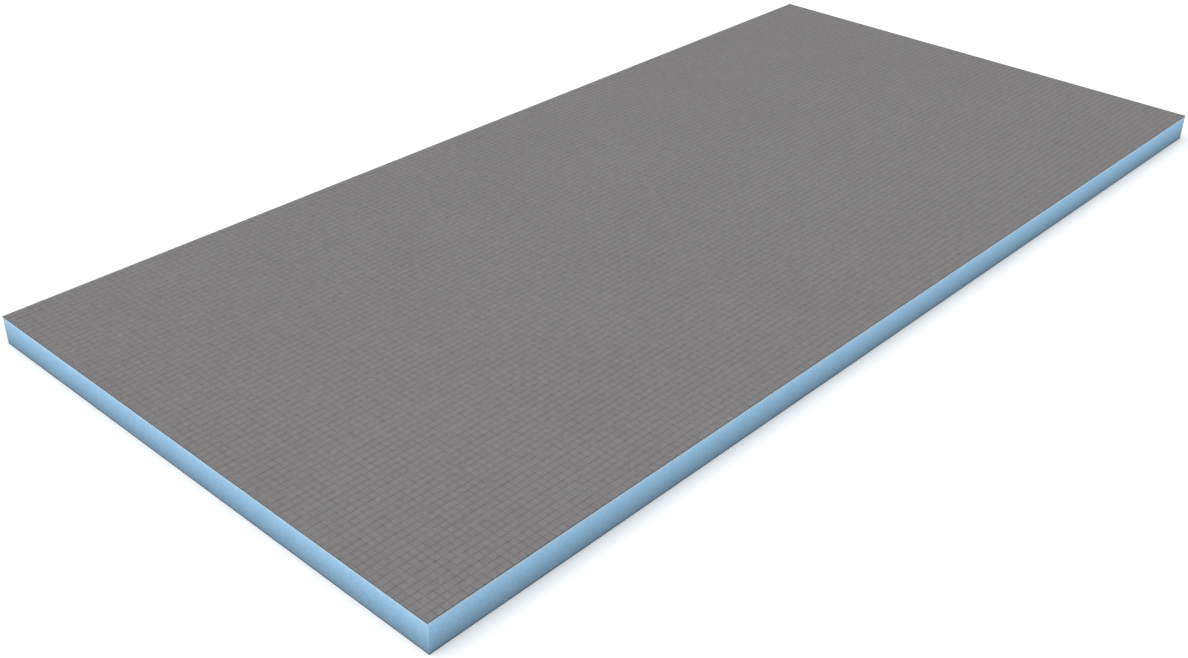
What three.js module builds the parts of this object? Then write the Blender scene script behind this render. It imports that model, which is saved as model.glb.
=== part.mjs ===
import * as THREE from "three";

// Tile backer board: a slab of rigid blue foam with a mesh-reinforced cement coating on each face.
// Millimetres, +Z up. The board lies flat with its length along X and its width along Y,
// and the origin is the middle of its underside.

const boardLength = 1250;
const boardWidth = 600;
const boardThickness = 30; // over both coatings
const coatingThickness = 0.7; // mortar and the mesh bedded in it, on one face

// The layers' shared heights. Neighbouring layers take their meeting face from the same value,
// because the coatings are bonded to the foam with no gap.
const undersideHeight = 0;
const foamBottomHeight = undersideHeight + coatingThickness;
const tileFaceHeight = undersideHeight + boardThickness;
const foamTopHeight = tileFaceHeight - coatingThickness;

const foamMaterial = new THREE.MeshStandardMaterial({ color: 0x9cc6e4, roughness: 0.85, metalness: 0 });
const mortarMaterial = new THREE.MeshStandardMaterial({ color: 0x828081, roughness: 0.92, metalness: 0 });

// One flat layer of the board, cut flush with the others on all four edges.
// Its corners are set to the shared heights themselves, so neighbouring faces match exactly.
function makeLayer(name, lowHeight, highHeight, material) {
  const geometry = new THREE.BoxGeometry(boardLength, boardWidth, highHeight - lowHeight);
  const corners = geometry.attributes.position;
  for (let i = 0; i < corners.count; i += 1) {
    corners.setZ(i, corners.getZ(i) < 0 ? lowHeight : highHeight);
  }
  const layer = new THREE.Mesh(geometry, material);
  layer.name = name;
  return layer;
}

const board = new THREE.Group();
board.add(
  makeLayer("bottom_coating", undersideHeight, foamBottomHeight, mortarMaterial),
  makeLayer("foam_core", foamBottomHeight, foamTopHeight, foamMaterial),
  makeLayer("top_coating", foamTopHeight, tileFaceHeight, mortarMaterial),
);

export default board;
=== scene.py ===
import math
import random
import bpy
import numpy as np
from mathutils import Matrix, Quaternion, Vector, noise


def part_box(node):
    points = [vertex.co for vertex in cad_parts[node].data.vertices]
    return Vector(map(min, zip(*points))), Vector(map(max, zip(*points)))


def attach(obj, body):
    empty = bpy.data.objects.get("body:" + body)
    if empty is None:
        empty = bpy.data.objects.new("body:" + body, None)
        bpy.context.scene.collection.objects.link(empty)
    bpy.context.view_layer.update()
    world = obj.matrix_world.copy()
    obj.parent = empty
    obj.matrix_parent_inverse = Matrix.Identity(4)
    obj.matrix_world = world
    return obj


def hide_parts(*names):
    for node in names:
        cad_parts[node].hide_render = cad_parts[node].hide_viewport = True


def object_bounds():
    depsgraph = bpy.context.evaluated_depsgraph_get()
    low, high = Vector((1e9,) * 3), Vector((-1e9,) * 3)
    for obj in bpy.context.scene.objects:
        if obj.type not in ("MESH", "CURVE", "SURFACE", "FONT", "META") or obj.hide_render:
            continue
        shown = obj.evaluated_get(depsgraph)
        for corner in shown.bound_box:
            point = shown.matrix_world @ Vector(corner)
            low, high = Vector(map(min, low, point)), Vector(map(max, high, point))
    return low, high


# Tile backer board: blue foam between two grey cement coatings, with a glass mesh bedded in each.
# Metres, +Z up. The board lies flat on the floor with its length along X.

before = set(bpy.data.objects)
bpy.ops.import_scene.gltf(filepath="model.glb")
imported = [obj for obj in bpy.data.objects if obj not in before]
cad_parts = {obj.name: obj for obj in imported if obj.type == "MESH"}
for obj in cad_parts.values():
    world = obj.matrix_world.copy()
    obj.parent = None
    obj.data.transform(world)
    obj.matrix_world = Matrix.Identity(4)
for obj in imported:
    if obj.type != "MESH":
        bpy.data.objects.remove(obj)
cadLow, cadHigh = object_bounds()
foamLow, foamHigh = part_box("foam_core")
print("frame loaded, board size in metres:", [round(side, 4) for side in cadHigh - cadLow])


# Camera

cameraSetup = {
    "place": (-1.1045, -0.8864, 0.7313),
    "aim": (-0.2364, -0.0648, 0.0),
    "roll": 0.315,  # degrees, anticlockwise
    "lens": 43.7,  # mm on a 36 mm wide sensor
    "sensor": 36.0,
    "shiftRight": 0.0229,
}


def addCamera():
    data = bpy.data.cameras.new("camera")
    data.lens = cameraSetup["lens"]
    data.sensor_width = cameraSetup["sensor"]
    data.shift_x = cameraSetup["shiftRight"]
    camera = bpy.data.objects.new("camera", data)
    sight = Vector(cameraSetup["aim"]) - Vector(cameraSetup["place"])
    roll = Quaternion((0, 0, 1), math.radians(cameraSetup["roll"]))
    camera.location = cameraSetup["place"]
    camera.rotation_mode = "QUATERNION"
    camera.rotation_quaternion = sight.to_track_quat("-Z", "Y") @ roll
    bpy.context.scene.collection.objects.link(camera)
    bpy.context.scene.camera = camera
    print("camera placed")


addCamera()


# Small helpers for shader nodes

noiseUsual = (0.35, 0.65)  # most of a noise texture's values lie between these
noiseGain = 4.0  # brings the usual stray from a noise texture's middle to about 1
noiseMiddle = 0.5
noiseDetail = 3.0
noiseRoughness = 0.6


def addNode(tree, kind, inputs=None, **settings):
    # inputs: socket name or number, with a plain value or another node's output
    node = tree.nodes.new(kind)
    for name, value in settings.items():
        setattr(node, name, value)
    for name, value in (inputs or {}).items():
        if isinstance(value, bpy.types.NodeSocket):
            tree.links.new(value, node.inputs[name])
        else:
            node.inputs[name].default_value = value
    return node


def calculate(tree, operation, first, second=0.0, third=0.0, clamp=False):
    values = {0: first, 1: second, 2: third}
    return addNode(tree, "ShaderNodeMath", values, operation=operation, use_clamp=clamp).outputs[0]


def mixColours(tree, factor, first, second, blendType="MIX"):
    mixed = addNode(tree, "ShaderNodeMix", {"Factor": factor}, data_type="RGBA", blend_type=blendType)
    for name, value in (("A_Color", first), ("B_Color", second)):
        socket = next(s for s in mixed.inputs if s.identifier == name)
        if isinstance(value, bpy.types.NodeSocket):
            tree.links.new(value, socket)
        else:
            socket.default_value = (*value, 1.0)
    return next(s for s in mixed.outputs if s.identifier == "Result_Color")


def remap(tree, value, fromLow, fromHigh, toLow=0.0, toHigh=1.0):
    ranges = {"Value": value, "From Min": fromLow, "From Max": fromHigh, "To Min": toLow, "To Max": toHigh}
    return addNode(tree, "ShaderNodeMapRange", ranges).outputs[0]


def addNoise(tree, position, size, detail=noiseDetail):
    inputs = {"Vector": position, "Scale": size, "Detail": detail, "Roughness": noiseRoughness}
    if not isinstance(size, bpy.types.NodeSocket):
        inputs["Scale"] = 1.0 / size
    return addNode(tree, "ShaderNodeTexNoise", inputs).outputs["Fac"]


def toneFrom(tree, pattern, contrast):
    # a brightness factor centred on 1
    swing = calculate(tree, "MULTIPLY", calculate(tree, "SUBTRACT", pattern, noiseMiddle), contrast)
    return calculate(tree, "MULTIPLY_ADD", swing, noiseGain, 1.0)


def newGroup(name, inputs, outputs):
    tree = bpy.data.node_groups.new(name, "ShaderNodeTree")
    for label, (kind, value) in inputs.items():
        socket = tree.interface.new_socket(label, in_out="INPUT", socket_type=kind)
        if value is not None:
            socket.default_value = value
    for label in outputs:
        tree.interface.new_socket(label, in_out="OUTPUT", socket_type="NodeSocketFloat")
    return tree, addNode(tree, "NodeGroupInput").outputs


def useGroup(tree, group, **inputs):
    node = tree.nodes.new("ShaderNodeGroup")
    node.node_tree = group
    for name, value in inputs.items():
        if isinstance(value, bpy.types.NodeSocket):
            tree.links.new(value, node.inputs[name])
        else:
            node.inputs[name].default_value = value
    return node.outputs


# Shared effects, each a shader node group

def makeGrain():
    # sand in mortar or cut cells in foam: Tone is centred on 1, Height runs from 0 to 1
    inputs = {
        "Position": ("NodeSocketVector", None),
        "Size": ("NodeSocketFloat", 0.0006),
        "Contrast": ("NodeSocketFloat", 0.1),
        "Flecks": ("NodeSocketFloat", 0.05),
        "FleckTone": ("NodeSocketFloat", 0.3),
    }
    tree, given = newGroup("grain", inputs, ["Tone", "Height"])
    perMetre = calculate(tree, "DIVIDE", 1.0, given["Size"])
    soft = addNoise(tree, given["Position"], perMetre)
    cells = addNode(tree, "ShaderNodeTexVoronoi", {"Vector": given["Position"], "Scale": perMetre})
    chance = addNode(tree, "ShaderNodeSeparateColor", {0: cells.outputs["Color"]}).outputs[0]
    fleck = calculate(tree, "LESS_THAN", chance, given["Flecks"])
    tone = toneFrom(tree, soft, given["Contrast"])
    tone = calculate(tree, "MULTIPLY_ADD", fleck, given["FleckTone"], tone)
    bead = calculate(tree, "SUBTRACT", 1.0, cells.outputs["Distance"])
    height = calculate(tree, "DIVIDE", calculate(tree, "ADD", soft, bead), 2.0)
    addNode(tree, "NodeGroupOutput", {"Tone": tone, "Height": height})
    return tree


def makeStreaks():
    # marks drawn out along one way: trowel lines in mortar, extrusion layers in foam
    streakDetail = 2.0
    inputs = {
        "Position": ("NodeSocketVector", None),
        "Cell": ("NodeSocketVector", (0.2, 0.01, 0.01)),
        "Contrast": ("NodeSocketFloat", 0.05),
    }
    tree, given = newGroup("streaks", inputs, ["Tone", "Height"])
    drawnOut = addNode(
        tree, "ShaderNodeVectorMath", {0: given["Position"], 1: given["Cell"]}, operation="DIVIDE"
    ).outputs[0]
    lines = addNoise(tree, drawnOut, 1.0, detail=streakDetail)
    tone = toneFrom(tree, lines, given["Contrast"])
    addNode(tree, "NodeGroupOutput", {"Tone": tone, "Height": lines})
    return tree


def makeEdgeBands():
    # Rim is 1 along the board's four sides and Corner is 1 at its four upright corners, fading over Reach
    inputs = {
        "Position": ("NodeSocketVector", None),
        "HalfLength": ("NodeSocketFloat", 0.6),
        "HalfWidth": ("NodeSocketFloat", 0.3),
        "Reach": ("NodeSocketFloat", 0.002),
    }
    tree, given = newGroup("edgeBands", inputs, ["Rim", "Corner"])
    split = addNode(tree, "ShaderNodeSeparateXYZ", {0: given["Position"]}).outputs
    near = []
    for axis, half in (("X", "HalfLength"), ("Y", "HalfWidth")):
        inward = calculate(tree, "SUBTRACT", given[half], calculate(tree, "ABSOLUTE", split[axis]))
        away = calculate(tree, "DIVIDE", inward, given["Reach"], clamp=True)
        near.append(calculate(tree, "SUBTRACT", 1.0, away))
    rim = calculate(tree, "MAXIMUM", *near)
    corner = calculate(tree, "MINIMUM", *near)
    addNode(tree, "NodeGroupOutput", {"Rim": rim, "Corner": corner})
    return tree


grainGroup = makeGrain()
streaksGroup = makeStreaks()
edgeBandsGroup = makeEdgeBands()
print("shared effects ready")


# Materials

def newMaterial(name, finish):
    material = bpy.data.materials.new(name)
    material.use_nodes = True
    tree = material.node_tree
    tree.nodes.clear()
    gloss = {"Roughness": finish["roughness"], "Specular IOR Level": finish["specular"]}
    shader = addNode(tree, "ShaderNodeBsdfPrincipled", gloss)
    addNode(tree, "ShaderNodeOutputMaterial", {"Surface": shader.outputs[0]})
    position = addNode(tree, "ShaderNodeTexCoord").outputs["Object"]
    return material, tree, shader, position


def addBump(tree, shader, layers):
    # layers: (height, depth in metres), the coarsest first
    normal = None
    for height, depth in layers:
        bump = addNode(tree, "ShaderNodeBump", {"Height": height, "Strength": 1.0, "Distance": depth})
        if normal:
            tree.links.new(normal, bump.inputs["Normal"])
        normal = bump.outputs["Normal"]
    tree.links.new(normal, shader.inputs["Normal"])


mortarFinish = {
    "darkColour": (0.183, 0.177, 0.180),
    "paleColour": (0.188, 0.182, 0.185),
    "cloudSize": 0.11,  # of the faint darker and paler clouds
    "cloudDetail": 5.0,
    "sandSize": 0.0007,
    "sandContrast": 0.14,
    "sandFlecks": 0.03,
    "fleckTone": 0.18,
    "pitSize": 0.004,
    "pitContrast": 0.10,
    "trowelCell": (0.35, 0.006, 0.006),
    "trowelContrast": 0.008,
    "darkRimReach": 0.0006,  # how far in from the board's sides the mortar is coloured darker
    "darkRimColour": (0.078, 0.092, 0.104),
    "specular": 0.1,
    "roughness": 0.9,
    "roughnessSpan": (0.84, 0.96),
    "sandDepth": 0.00012,
    "trowelDepth": 0.0001,
}

# glass yarn soaked in the same mortar, which hides all but its line and its twist
yarnFinish = {
    "lengthwiseTints": (0.68, 0.92),  # against plain mortar, where a yarn lies bare and where it is covered
    "crosswiseTints": (0.90, 1.0),
    "coverSize": 0.006,  # length of a bare or a covered stretch
    "twistSpacing": 0.0022,
    "twistDistortion": 1.5,
    "twistDepth": 0.00006,
}


def makeMortar(name, yarnTints=None):
    finish = mortarFinish
    material, tree, shader, position = newMaterial(name, finish)
    clouds = remap(tree, addNoise(tree, position, finish["cloudSize"], finish["cloudDetail"]), *noiseUsual)
    sand = useGroup(
        tree, grainGroup, Position=position, Size=finish["sandSize"], Contrast=finish["sandContrast"],
        Flecks=finish["sandFlecks"], FleckTone=finish["fleckTone"],
    )
    trowel = useGroup(
        tree, streaksGroup, Position=position, Cell=finish["trowelCell"], Contrast=finish["trowelContrast"]
    )
    nearSides = useGroup(
        tree, edgeBandsGroup, Position=position, HalfLength=cadHigh.x, HalfWidth=cadHigh.y,
        Reach=finish["darkRimReach"],
    )
    colour = mixColours(tree, clouds, finish["darkColour"], finish["paleColour"])
    colour = mixColours(tree, nearSides["Rim"], colour, finish["darkRimColour"])
    pits = toneFrom(tree, addNoise(tree, position, finish["pitSize"]), finish["pitContrast"])
    tone = calculate(tree, "MULTIPLY", calculate(tree, "MULTIPLY", sand["Tone"], trowel["Tone"]), pits)
    if yarnTints:
        cover = addNoise(tree, position, yarnFinish["coverSize"])
        tone = calculate(tree, "MULTIPLY", tone, remap(tree, cover, *noiseUsual, *yarnTints))
    colour = mixColours(tree, 1.0, colour, tone, "MULTIPLY")
    tree.links.new(colour, shader.inputs["Base Color"])
    rough = remap(tree, sand["Height"], *noiseUsual, *finish["roughnessSpan"])
    tree.links.new(rough, shader.inputs["Roughness"])
    layers = [(trowel["Height"], finish["trowelDepth"]), (sand["Height"], finish["sandDepth"])]
    if yarnTints:
        inputs = {
            "Vector": position,
            "Scale": 1.0 / yarnFinish["twistSpacing"] / math.tau,
            "Distortion": yarnFinish["twistDistortion"],
        }
        twist = addNode(
            tree, "ShaderNodeTexWave", inputs, wave_type="BANDS", bands_direction="DIAGONAL"
        ).outputs["Fac"]
        layers.append((twist, yarnFinish["twistDepth"]))
    addBump(tree, shader, layers)
    print(name, "material ready")
    return material


foamFinish = {
    "topColour": (0.330, 0.580, 0.820),
    # the foam's colour at its foot, darkened by painted shade
    "paintedShadeFootColour": (0.148, 0.250, 0.345),
    "mottleSize": 0.0030,
    "mottleShare": 0.05,
    "cellSize": 0.0009,
    "cellContrast": 0.09,
    "cellFlecks": 0.06,
    "fleckTone": 0.12,
    "layerCell": (0.25, 0.25, 0.0016),
    "layerContrast": 0.010,
    "cornerHighlightReach": 0.0016,  # painted highlight: the upright corners are painted paler over this much
    "cornerHighlightColour": (0.37, 0.61, 0.81),
    "arrisHighlightReach": 0.0036,  # painted highlight: the foam is painted paler just under the upper coating, along its top arris
    "arrisHighlightColour": (0.44, 0.57, 0.66),
    "specular": 0.3,
    "roughness": 0.85,
    "roughnessSpan": (0.75, 0.92),
    "cellDepth": 0.00012,
    "mottleDepth": 0.00012,
}


def makeFoam():
    finish = foamFinish
    material, tree, shader, position = newMaterial("blueFoam", finish)
    height = addNode(tree, "ShaderNodeSeparateXYZ", {0: position}).outputs["Z"]
    rise = remap(tree, height, foamLow.z, foamHigh.z)
    mottle = addNoise(tree, position, finish["mottleSize"])
    cells = useGroup(
        tree, grainGroup, Position=position, Size=finish["cellSize"], Contrast=finish["cellContrast"],
        Flecks=finish["cellFlecks"], FleckTone=finish["fleckTone"],
    )
    layers = useGroup(
        tree, streaksGroup, Position=position, Cell=finish["layerCell"], Contrast=finish["layerContrast"]
    )
    nearSides = useGroup(
        tree, edgeBandsGroup, Position=position, HalfLength=foamHigh.x, HalfWidth=foamHigh.y,
        Reach=finish["cornerHighlightReach"],
    )
    # painted shade: the foam's sides are painted darker towards the foot, where the floor shades them
    colour = mixColours(tree, rise, finish["paintedShadeFootColour"], finish["topColour"])
    # painted highlight: the upright corners are painted paler, fading out towards the foot
    paintedCornerHighlight = calculate(tree, "MULTIPLY", nearSides["Corner"], rise)
    colour = mixColours(tree, paintedCornerHighlight, colour, finish["cornerHighlightColour"])
    # painted highlight along the foam's top arris, just under the upper coating
    paintedArrisHighlight = remap(tree, height, foamHigh.z - finish["arrisHighlightReach"], foamHigh.z)
    colour = mixColours(tree, paintedArrisHighlight, colour, finish["arrisHighlightColour"])
    share = finish["mottleShare"]
    blotch = remap(tree, mottle, *noiseUsual, 1.0 - share, 1.0 + share)
    tone = calculate(tree, "MULTIPLY", calculate(tree, "MULTIPLY", cells["Tone"], layers["Tone"]), blotch)
    colour = mixColours(tree, 1.0, colour, tone, "MULTIPLY")
    tree.links.new(colour, shader.inputs["Base Color"])
    rough = remap(tree, cells["Height"], *noiseUsual, *finish["roughnessSpan"])
    tree.links.new(rough, shader.inputs["Roughness"])
    addBump(tree, shader, [(mottle, finish["mottleDepth"]), (cells["Height"], finish["cellDepth"])])
    print("blueFoam material ready")
    return material


mortarMaterial = makeMortar("cementMortar")
lengthwiseYarnMaterial = makeMortar("lengthwiseYarn", yarnFinish["lengthwiseTints"])
crosswiseYarnMaterial = makeMortar("crosswiseYarn", yarnFinish["crosswiseTints"])
foamMaterial = makeFoam()


# Pieces

def addPiece(name, points, faces, smoothFaces, material, nodeName=None):
    mesh = bpy.data.meshes.new(name)
    mesh.from_pydata(points, [], faces)
    mesh.polygons.foreach_set("use_smooth", smoothFaces)
    mesh.materials.append(material)
    mesh.update()
    piece = bpy.data.objects.new(name, mesh)
    bpy.context.scene.collection.objects.link(piece)
    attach(piece, "root")
    if nodeName:
        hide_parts(nodeName)
    print(name, "made of", len(faces), "faces")
    return piece


bakeSheet = {
    "margin": 0.01,  # share of the sheet left clear round what is laid out on it
    "lean": 1.0,  # how far height shifts a point, which gives upright faces some width
    "stripRuns": 12,  # the foam's sides are laid out as this many strips, one above another
    "stripShare": 0.8,  # of each strip's room that the strip fills
}


def fillBakeMap(mesh, across, up):
    layer = mesh.uv_layers.new(name="OFBake")
    layer.data.foreach_set("uv", np.stack([across, up], axis=1).astype(np.float32).ravel())


def addFlatBakeMap(piece):
    # lays a thin flat piece out in two halves, the left half below the right one, to fill a square sheet
    mesh = piece.data
    places = np.empty(len(mesh.vertices) * 3, np.float32)
    corners = np.empty(len(mesh.loops), np.int32)
    centres = np.empty(len(mesh.polygons) * 3, np.float32)
    sizes = np.empty(len(mesh.polygons), np.int32)
    mesh.vertices.foreach_get("co", places)
    mesh.loops.foreach_get("vertex_index", corners)
    mesh.polygons.foreach_get("center", centres)
    mesh.polygons.foreach_get("loop_total", sizes)
    x, y, z = places.reshape(-1, 3)[corners].T
    onRight = np.repeat(centres[0::3] > 0, sizes)
    lift = bakeSheet["lean"] * (z - z.min())
    across = (x + lift - np.where(onRight, 0.0, cadLow.x)) / cadHigh.x
    up = (y + lift - cadLow.y) / (cadHigh.y - cadLow.y)
    margin = bakeSheet["margin"]
    room = 1.0 - 2.0 * margin
    fillBakeMap(mesh, margin + across * room, (onRight + margin + up * room) / 2.0)


def addStripBakeMap(piece, around, rows):
    # lays the foam's sides out as strips, and its two hidden faces in the last strip's room
    runs = bakeSheet["stripRuns"]
    share = bakeSheet["stripShare"]
    perRun = math.ceil(around / runs)
    across = []
    up = []
    for r in range(rows):
        for k in range(around):
            run, along = divmod(k, perRun)
            low = (run + share * r / rows) / (runs + 1)
            high = (run + share * (r + 1) / rows) / (runs + 1)
            across += [along / perRun, (along + 1) / perRun, (along + 1) / perRun, along / perRun]
            up += [low, low, high, high]
    foot = runs / (runs + 1)
    head = (runs + share) / (runs + 1)
    for k in range(around):
        start = k / around
        middle = (k + 0.5) / around
        end = (k + 1) / around
        across += [end, start, middle, start, end, middle]
        up += [foot, foot, head] * 2
    fillBakeMap(piece.data, np.array(across), np.array(up))


def drift(along, line, seed, span):
    # a slow stray to either side, from -1 to 1, different on every line
    lineStep = 7.31  # far enough apart in the noise that neighbours are unlike
    return noise.noise(Vector((along / span, line * lineStep, seed)))


meshLayout = {
    "pitch": 0.0075,  # one square of the glass mesh
    "firstLengthwise": 0.0075,  # from the front long side to the first yarn along the board
    "firstCrosswise": 0.003,  # from the left short side to the first yarn across it
    "leastMargin": 0.0015,  # no yarn lies nearer than this to a sawn side
    "stray": 0.00018,  # how far a yarn wanders off its line
    "strayLength": 0.09,
    "otherWaySeed": 50,  # keeps the crosswise stray unlike the lengthwise one
}


def yarnLines(low, high, first):
    lines = [low]
    place = low + first
    while place < high - meshLayout["leastMargin"]:
        lines.append(place)
        place += meshLayout["pitch"]
    return lines + [high]


def meshCrossings(seed):
    # where the yarns cross, and where they meet the board's sides, as rows of (x, y)
    xLines = yarnLines(cadLow.x, cadHigh.x, meshLayout["firstCrosswise"])
    yLines = yarnLines(cadLow.y, cadHigh.y, meshLayout["firstLengthwise"])
    stray = meshLayout["stray"]
    span = meshLayout["strayLength"]
    otherSeed = seed + meshLayout["otherWaySeed"]
    crossings = []
    for i, x in enumerate(xLines):
        column = []
        for j, y in enumerate(yLines):
            onShortSide = i in (0, len(xLines) - 1)
            onLongSide = j in (0, len(yLines) - 1)
            px = x if onShortSide else x + stray * drift(y, i, seed, span)
            py = y if onLongSide else y + stray * drift(x, j, otherSeed, span)
            column.append((px, py))
        crossings.append(column)
    return crossings


mortarRelief = {
    "grooveHalfWidth": 0.0006,  # the mortar falls to a yarn over this much
    "grooveDepth": 0.00016,
    "brokenEdge": 0.0003,  # the sawn arris is rubbed back this far
    "crumble": 0.00008,
    "crown": 0.00003,  # the middle of a square stands this much over its corners
    "unevenness": 0.00003,
}


def addCoating(name, nodeName, side, foamZ, faceZ, crossings, seed):
    # side is 1 for the upper coating and -1 for the lower one
    rng = random.Random(seed)
    thickness = abs(faceZ - foamZ)
    columns = len(crossings) - 1
    rows = len(crossings[0]) - 1
    groove = mortarRelief["grooveHalfWidth"]
    rim = mortarRelief["brokenEdge"]
    points = []
    faces = []
    smoothFaces = []

    def addPoint(x, y, height):
        points.append((x, y, foamZ + side * height))
        return len(points) - 1

    def addFace(corners, smooth=False):
        faces.append(corners if side > 0 else corners[::-1])
        smoothFaces.append(smooth)

    # the groove bottoms: one point under each crossing and at each yarn's cut end
    bottoms = []
    for i, column in enumerate(crossings):
        line = []
        for j, (x, y) in enumerate(column):
            onSide = i in (0, columns) or j in (0, rows)
            dip = rng.uniform(-1, 1) * mortarRelief["crumble"] if onSide else 0.0
            line.append(addPoint(x, y, thickness - mortarRelief["grooveDepth"] + dip))
        bottoms.append(line)

    # the mortar squares, each with four slopes down to the grooves round it
    for i in range(columns):
        left = rim if i == 0 else groove
        right = rim if i == columns - 1 else groove
        for j in range(rows):
            front = rim if j == 0 else groove
            back = rim if j == rows - 1 else groove
            low = rng.uniform(0, mortarRelief["unevenness"])
            edge = thickness - mortarRelief["crown"] - low
            ax, ay = crossings[i][j]
            bx, by = crossings[i + 1][j]
            cx, cy = crossings[i + 1][j + 1]
            dx, dy = crossings[i][j + 1]
            a = addPoint(ax + left, ay + front, edge)
            b = addPoint(bx - right, by + front, edge)
            c = addPoint(cx - right, cy - back, edge)
            d = addPoint(dx + left, dy - back, edge)
            middle = addPoint((ax + bx + cx + dx) / 4, (ay + by + cy + dy) / 4, thickness - low)
            for pair in ((a, b), (b, c), (c, d), (d, a)):
                addFace((*pair, middle), smooth=True)
            under = (bottoms[i][j], bottoms[i + 1][j], bottoms[i + 1][j + 1], bottoms[i][j + 1])
            above = (a, b, c, d)
            for k in range(4):
                n = (k + 1) % 4
                addFace((under[k], under[n], above[n], above[k]))

    # the four sawn sides and the bonded face against the foam
    rimPoints = [bottoms[i][0] for i in range(columns)]
    rimPoints += [bottoms[columns][j] for j in range(rows)]
    rimPoints += [bottoms[i][rows] for i in range(columns, 0, -1)]
    rimPoints += [bottoms[0][j] for j in range(rows, 0, -1)]
    footPoints = [addPoint(points[p][0], points[p][1], 0.0) for p in rimPoints]
    centre = addPoint(0.0, 0.0, 0.0)
    for k in range(len(rimPoints)):
        n = (k + 1) % len(rimPoints)
        addFace((footPoints[k], footPoints[n], rimPoints[n], rimPoints[k]))
        addFace((footPoints[n], footPoints[k], centre))
    addFlatBakeMap(addPiece(name, points, faces, smoothFaces, mortarMaterial, nodeName))


yarnShape = {
    "lengthwiseHalfWidth": 0.00055,
    "crosswiseHalfWidth": 0.0004,
    "crownDepth": 0.00004,  # below the mortar squares
    "bedDepth": 0.00012,
    "weave": 0.00002,  # up over one yarn and down under the next
}


def addYarns(name, side, faceZ, paths, across, halfWidth, material):
    # low three-sided strands from one sawn side to the other, each seated in its groove
    points = []
    faces = []
    smoothFaces = []
    for strand, path in enumerate(paths):
        first = len(points)
        for k, (x, y) in enumerate(path):
            over = 1 if (k + strand + across[1]) % 2 else -1
            crown = yarnShape["crownDepth"] - over * yarnShape["weave"]
            bed = yarnShape["bedDepth"]
            for shift, depth in ((-halfWidth, bed), (0.0, crown), (halfWidth, bed)):
                points.append((x + across[0] * shift, y + across[1] * shift, faceZ - side * depth))
        for k in range(len(path) - 1):
            ring = first + 3 * k
            for s in range(3):
                n = (s + 1) % 3
                quad = (ring + s, ring + 3 + s, ring + 3 + n, ring + n)
                faces.append(quad if side > 0 else quad[::-1])
                smoothFaces.append(s < 2)  # the two upper faces; the third is the flat bed
        last = first + 3 * (len(path) - 1)
        for cap in ((first, first + 1, first + 2), (last + 2, last + 1, last)):
            faces.append(cap if side > 0 else cap[::-1])
            smoothFaces.append(False)
    addFlatBakeMap(addPiece(name, points, faces, smoothFaces, material))


def addMesh(face, side, faceZ, crossings):
    # the yarns along the board and the yarns across it, in one face's coating
    lengthwise = [[column[j] for column in crossings] for j in range(1, len(crossings[0]) - 1)]
    crosswise = crossings[1:-1]
    addYarns(face + "_lengthwise_yarns", side, faceZ, lengthwise, (0, 1),
             yarnShape["lengthwiseHalfWidth"], lengthwiseYarnMaterial)
    addYarns(face + "_crosswise_yarns", side, faceZ, crosswise, (-1, 0),
             yarnShape["crosswiseHalfWidth"], crosswiseYarnMaterial)


foamShape = {
    "cornerRadius": 0.0005,
    "cornerSteps": 3,
    "step": 0.0016,  # spacing of the points that carry the sawn surface's relief
    "relief": 0.00006,  # the deepest hollow in the sawn surface
    "reliefSize": 0.0040,
}


def foamOutline():
    # (x, y, outward x, outward y) round the slab, anticlockwise seen from above
    radius = foamShape["cornerRadius"]
    outline = []
    corners = ((-1, -1, 180), (1, -1, 270), (1, 1, 0), (-1, 1, 90))
    for k, (signX, signY, startAngle) in enumerate(corners):
        cx = signX * (foamHigh.x - radius)
        cy = signY * (foamHigh.y - radius)
        for s in range(foamShape["cornerSteps"] + 1):
            angle = math.radians(startAngle + 90 * s / foamShape["cornerSteps"])
            outX = math.cos(angle)
            outY = math.sin(angle)
            outline.append((cx + radius * outX, cy + radius * outY, outX, outY))
        nextX, nextY = corners[(k + 1) % 4][:2]
        run = Vector((nextX * (foamHigh.x - radius) - cx, nextY * (foamHigh.y - radius) - cy))
        count = round(run.length / foamShape["step"])
        startX, startY, outX, outY = outline[-1]
        for s in range(1, count):
            outline.append((startX + run.x * s / count, startY + run.y * s / count, outX, outY))
    return outline


def addFoam():
    outline = foamOutline()
    rows = round((foamHigh.z - foamLow.z) / foamShape["step"])
    points = []
    faces = []
    smoothFaces = []
    for r in range(rows + 1):
        z = foamLow.z + (foamHigh.z - foamLow.z) * r / rows
        for x, y, outX, outY in outline:
            rough = noise.noise(Vector((x, y, z)) / foamShape["reliefSize"])
            inward = foamShape["relief"] * (1 + rough) / 2  # never outwards, past the foam's size
            points.append((x - outX * inward, y - outY * inward, z))
    around = len(outline)
    for r in range(rows):
        for k in range(around):
            n = (k + 1) % around
            faces.append((r * around + k, r * around + n, (r + 1) * around + n, (r + 1) * around + k))
            smoothFaces.append(True)
    points += [(0, 0, foamLow.z), (0, 0, foamHigh.z)]
    top = rows * around
    for k in range(around):
        n = (k + 1) % around
        faces.append((n, k, len(points) - 2))
        faces.append((top + k, top + n, len(points) - 1))
        smoothFaces += [False, False]
    slab = addPiece("foam_slab", points, faces, smoothFaces, foamMaterial, "foam_core")
    addStripBakeMap(slab, around, rows)


upperCrossings = meshCrossings(seed=3)
lowerCrossings = meshCrossings(seed=11)
addCoating("top_coating_face", "top_coating", 1, foamHigh.z, cadHigh.z, upperCrossings, seed=21)
addMesh("top", 1, cadHigh.z, upperCrossings)
addCoating("bottom_coating_face", "bottom_coating", -1, foamLow.z, cadLow.z, lowerCrossings, seed=22)
addMesh("bottom", -1, cadLow.z, lowerCrossings)
addFoam()


# Floor and light

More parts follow.
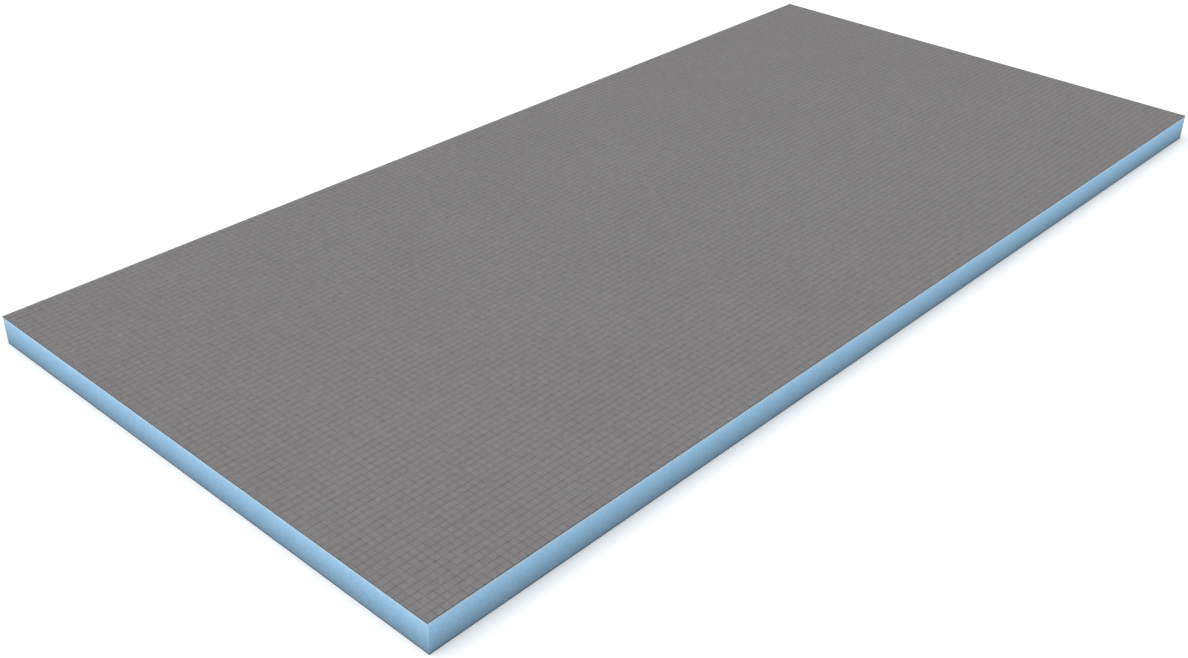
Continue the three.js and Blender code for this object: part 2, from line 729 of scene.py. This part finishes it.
studio = {
    "floorSize": 60.0,
    "floorDrop": 0.0001,
    "floorColour": (0.93, 0.93, 0.93),
    "floorRoughness": 0.95,
    "floorSpecular": 0.1,
    "skyColour": (1.0, 1.0, 1.0, 1.0),
    "skyStrength": 0.58,  # as light
    "backdropStrength": 1.0,  # as seen behind the floor, so that it shows as white as the floor does
    "sunStrength": 2.1,
    "sunSpread": 70.0,  # degrees
    "sunFrom": (-0.65, 0.15, 1.9),
}


def addStudio():
    half = studio["floorSize"] / 2
    mesh = bpy.data.meshes.new("floor")
    corners = [(-half, -half, 0), (half, -half, 0), (half, half, 0), (-half, half, 0)]
    mesh.from_pydata(corners, [], [(0, 1, 2, 3)])
    floor = bpy.data.objects.new("floor", mesh)
    floor.location.z = -studio["floorDrop"]
    material = bpy.data.materials.new("paleFloor")
    material.use_nodes = True
    shader = material.node_tree.nodes["Principled BSDF"]
    shader.inputs["Base Color"].default_value = (*studio["floorColour"], 1)
    shader.inputs["Roughness"].default_value = studio["floorRoughness"]
    shader.inputs["Specular IOR Level"].default_value = studio["floorSpecular"]
    mesh.materials.append(material)
    bpy.context.scene.collection.objects.link(floor)

    world = bpy.data.worlds.new("studioWorld")
    world.use_nodes = True
    tree = world.node_tree
    tree.nodes.clear()
    light = {"Color": studio["skyColour"], "Strength": studio["skyStrength"]}
    white = {"Color": studio["skyColour"], "Strength": studio["backdropStrength"]}
    sky = addNode(tree, "ShaderNodeBackground", light)
    backdrop = addNode(tree, "ShaderNodeBackground", white)
    seen = addNode(tree, "ShaderNodeLightPath").outputs["Is Camera Ray"]
    both = addNode(tree, "ShaderNodeMixShader", {0: seen, 1: sky.outputs[0], 2: backdrop.outputs[0]})
    addNode(tree, "ShaderNodeOutputWorld", {"Surface": both.outputs[0]})
    bpy.context.scene.world = world

    lamp = bpy.data.lights.new("softSun", "SUN")
    lamp.energy = studio["sunStrength"]
    lamp.angle = math.radians(studio["sunSpread"])
    sun = bpy.data.objects.new("softSun", lamp)
    sun.location = studio["sunFrom"]
    sun.rotation_mode = "QUATERNION"
    sun.rotation_quaternion = (-Vector(studio["sunFrom"])).to_track_quat("-Z", "Y")
    bpy.context.scene.collection.objects.link(sun)
    bpy.context.scene.view_settings.view_transform = "Standard"
    print("floor and light ready")


addStudio()
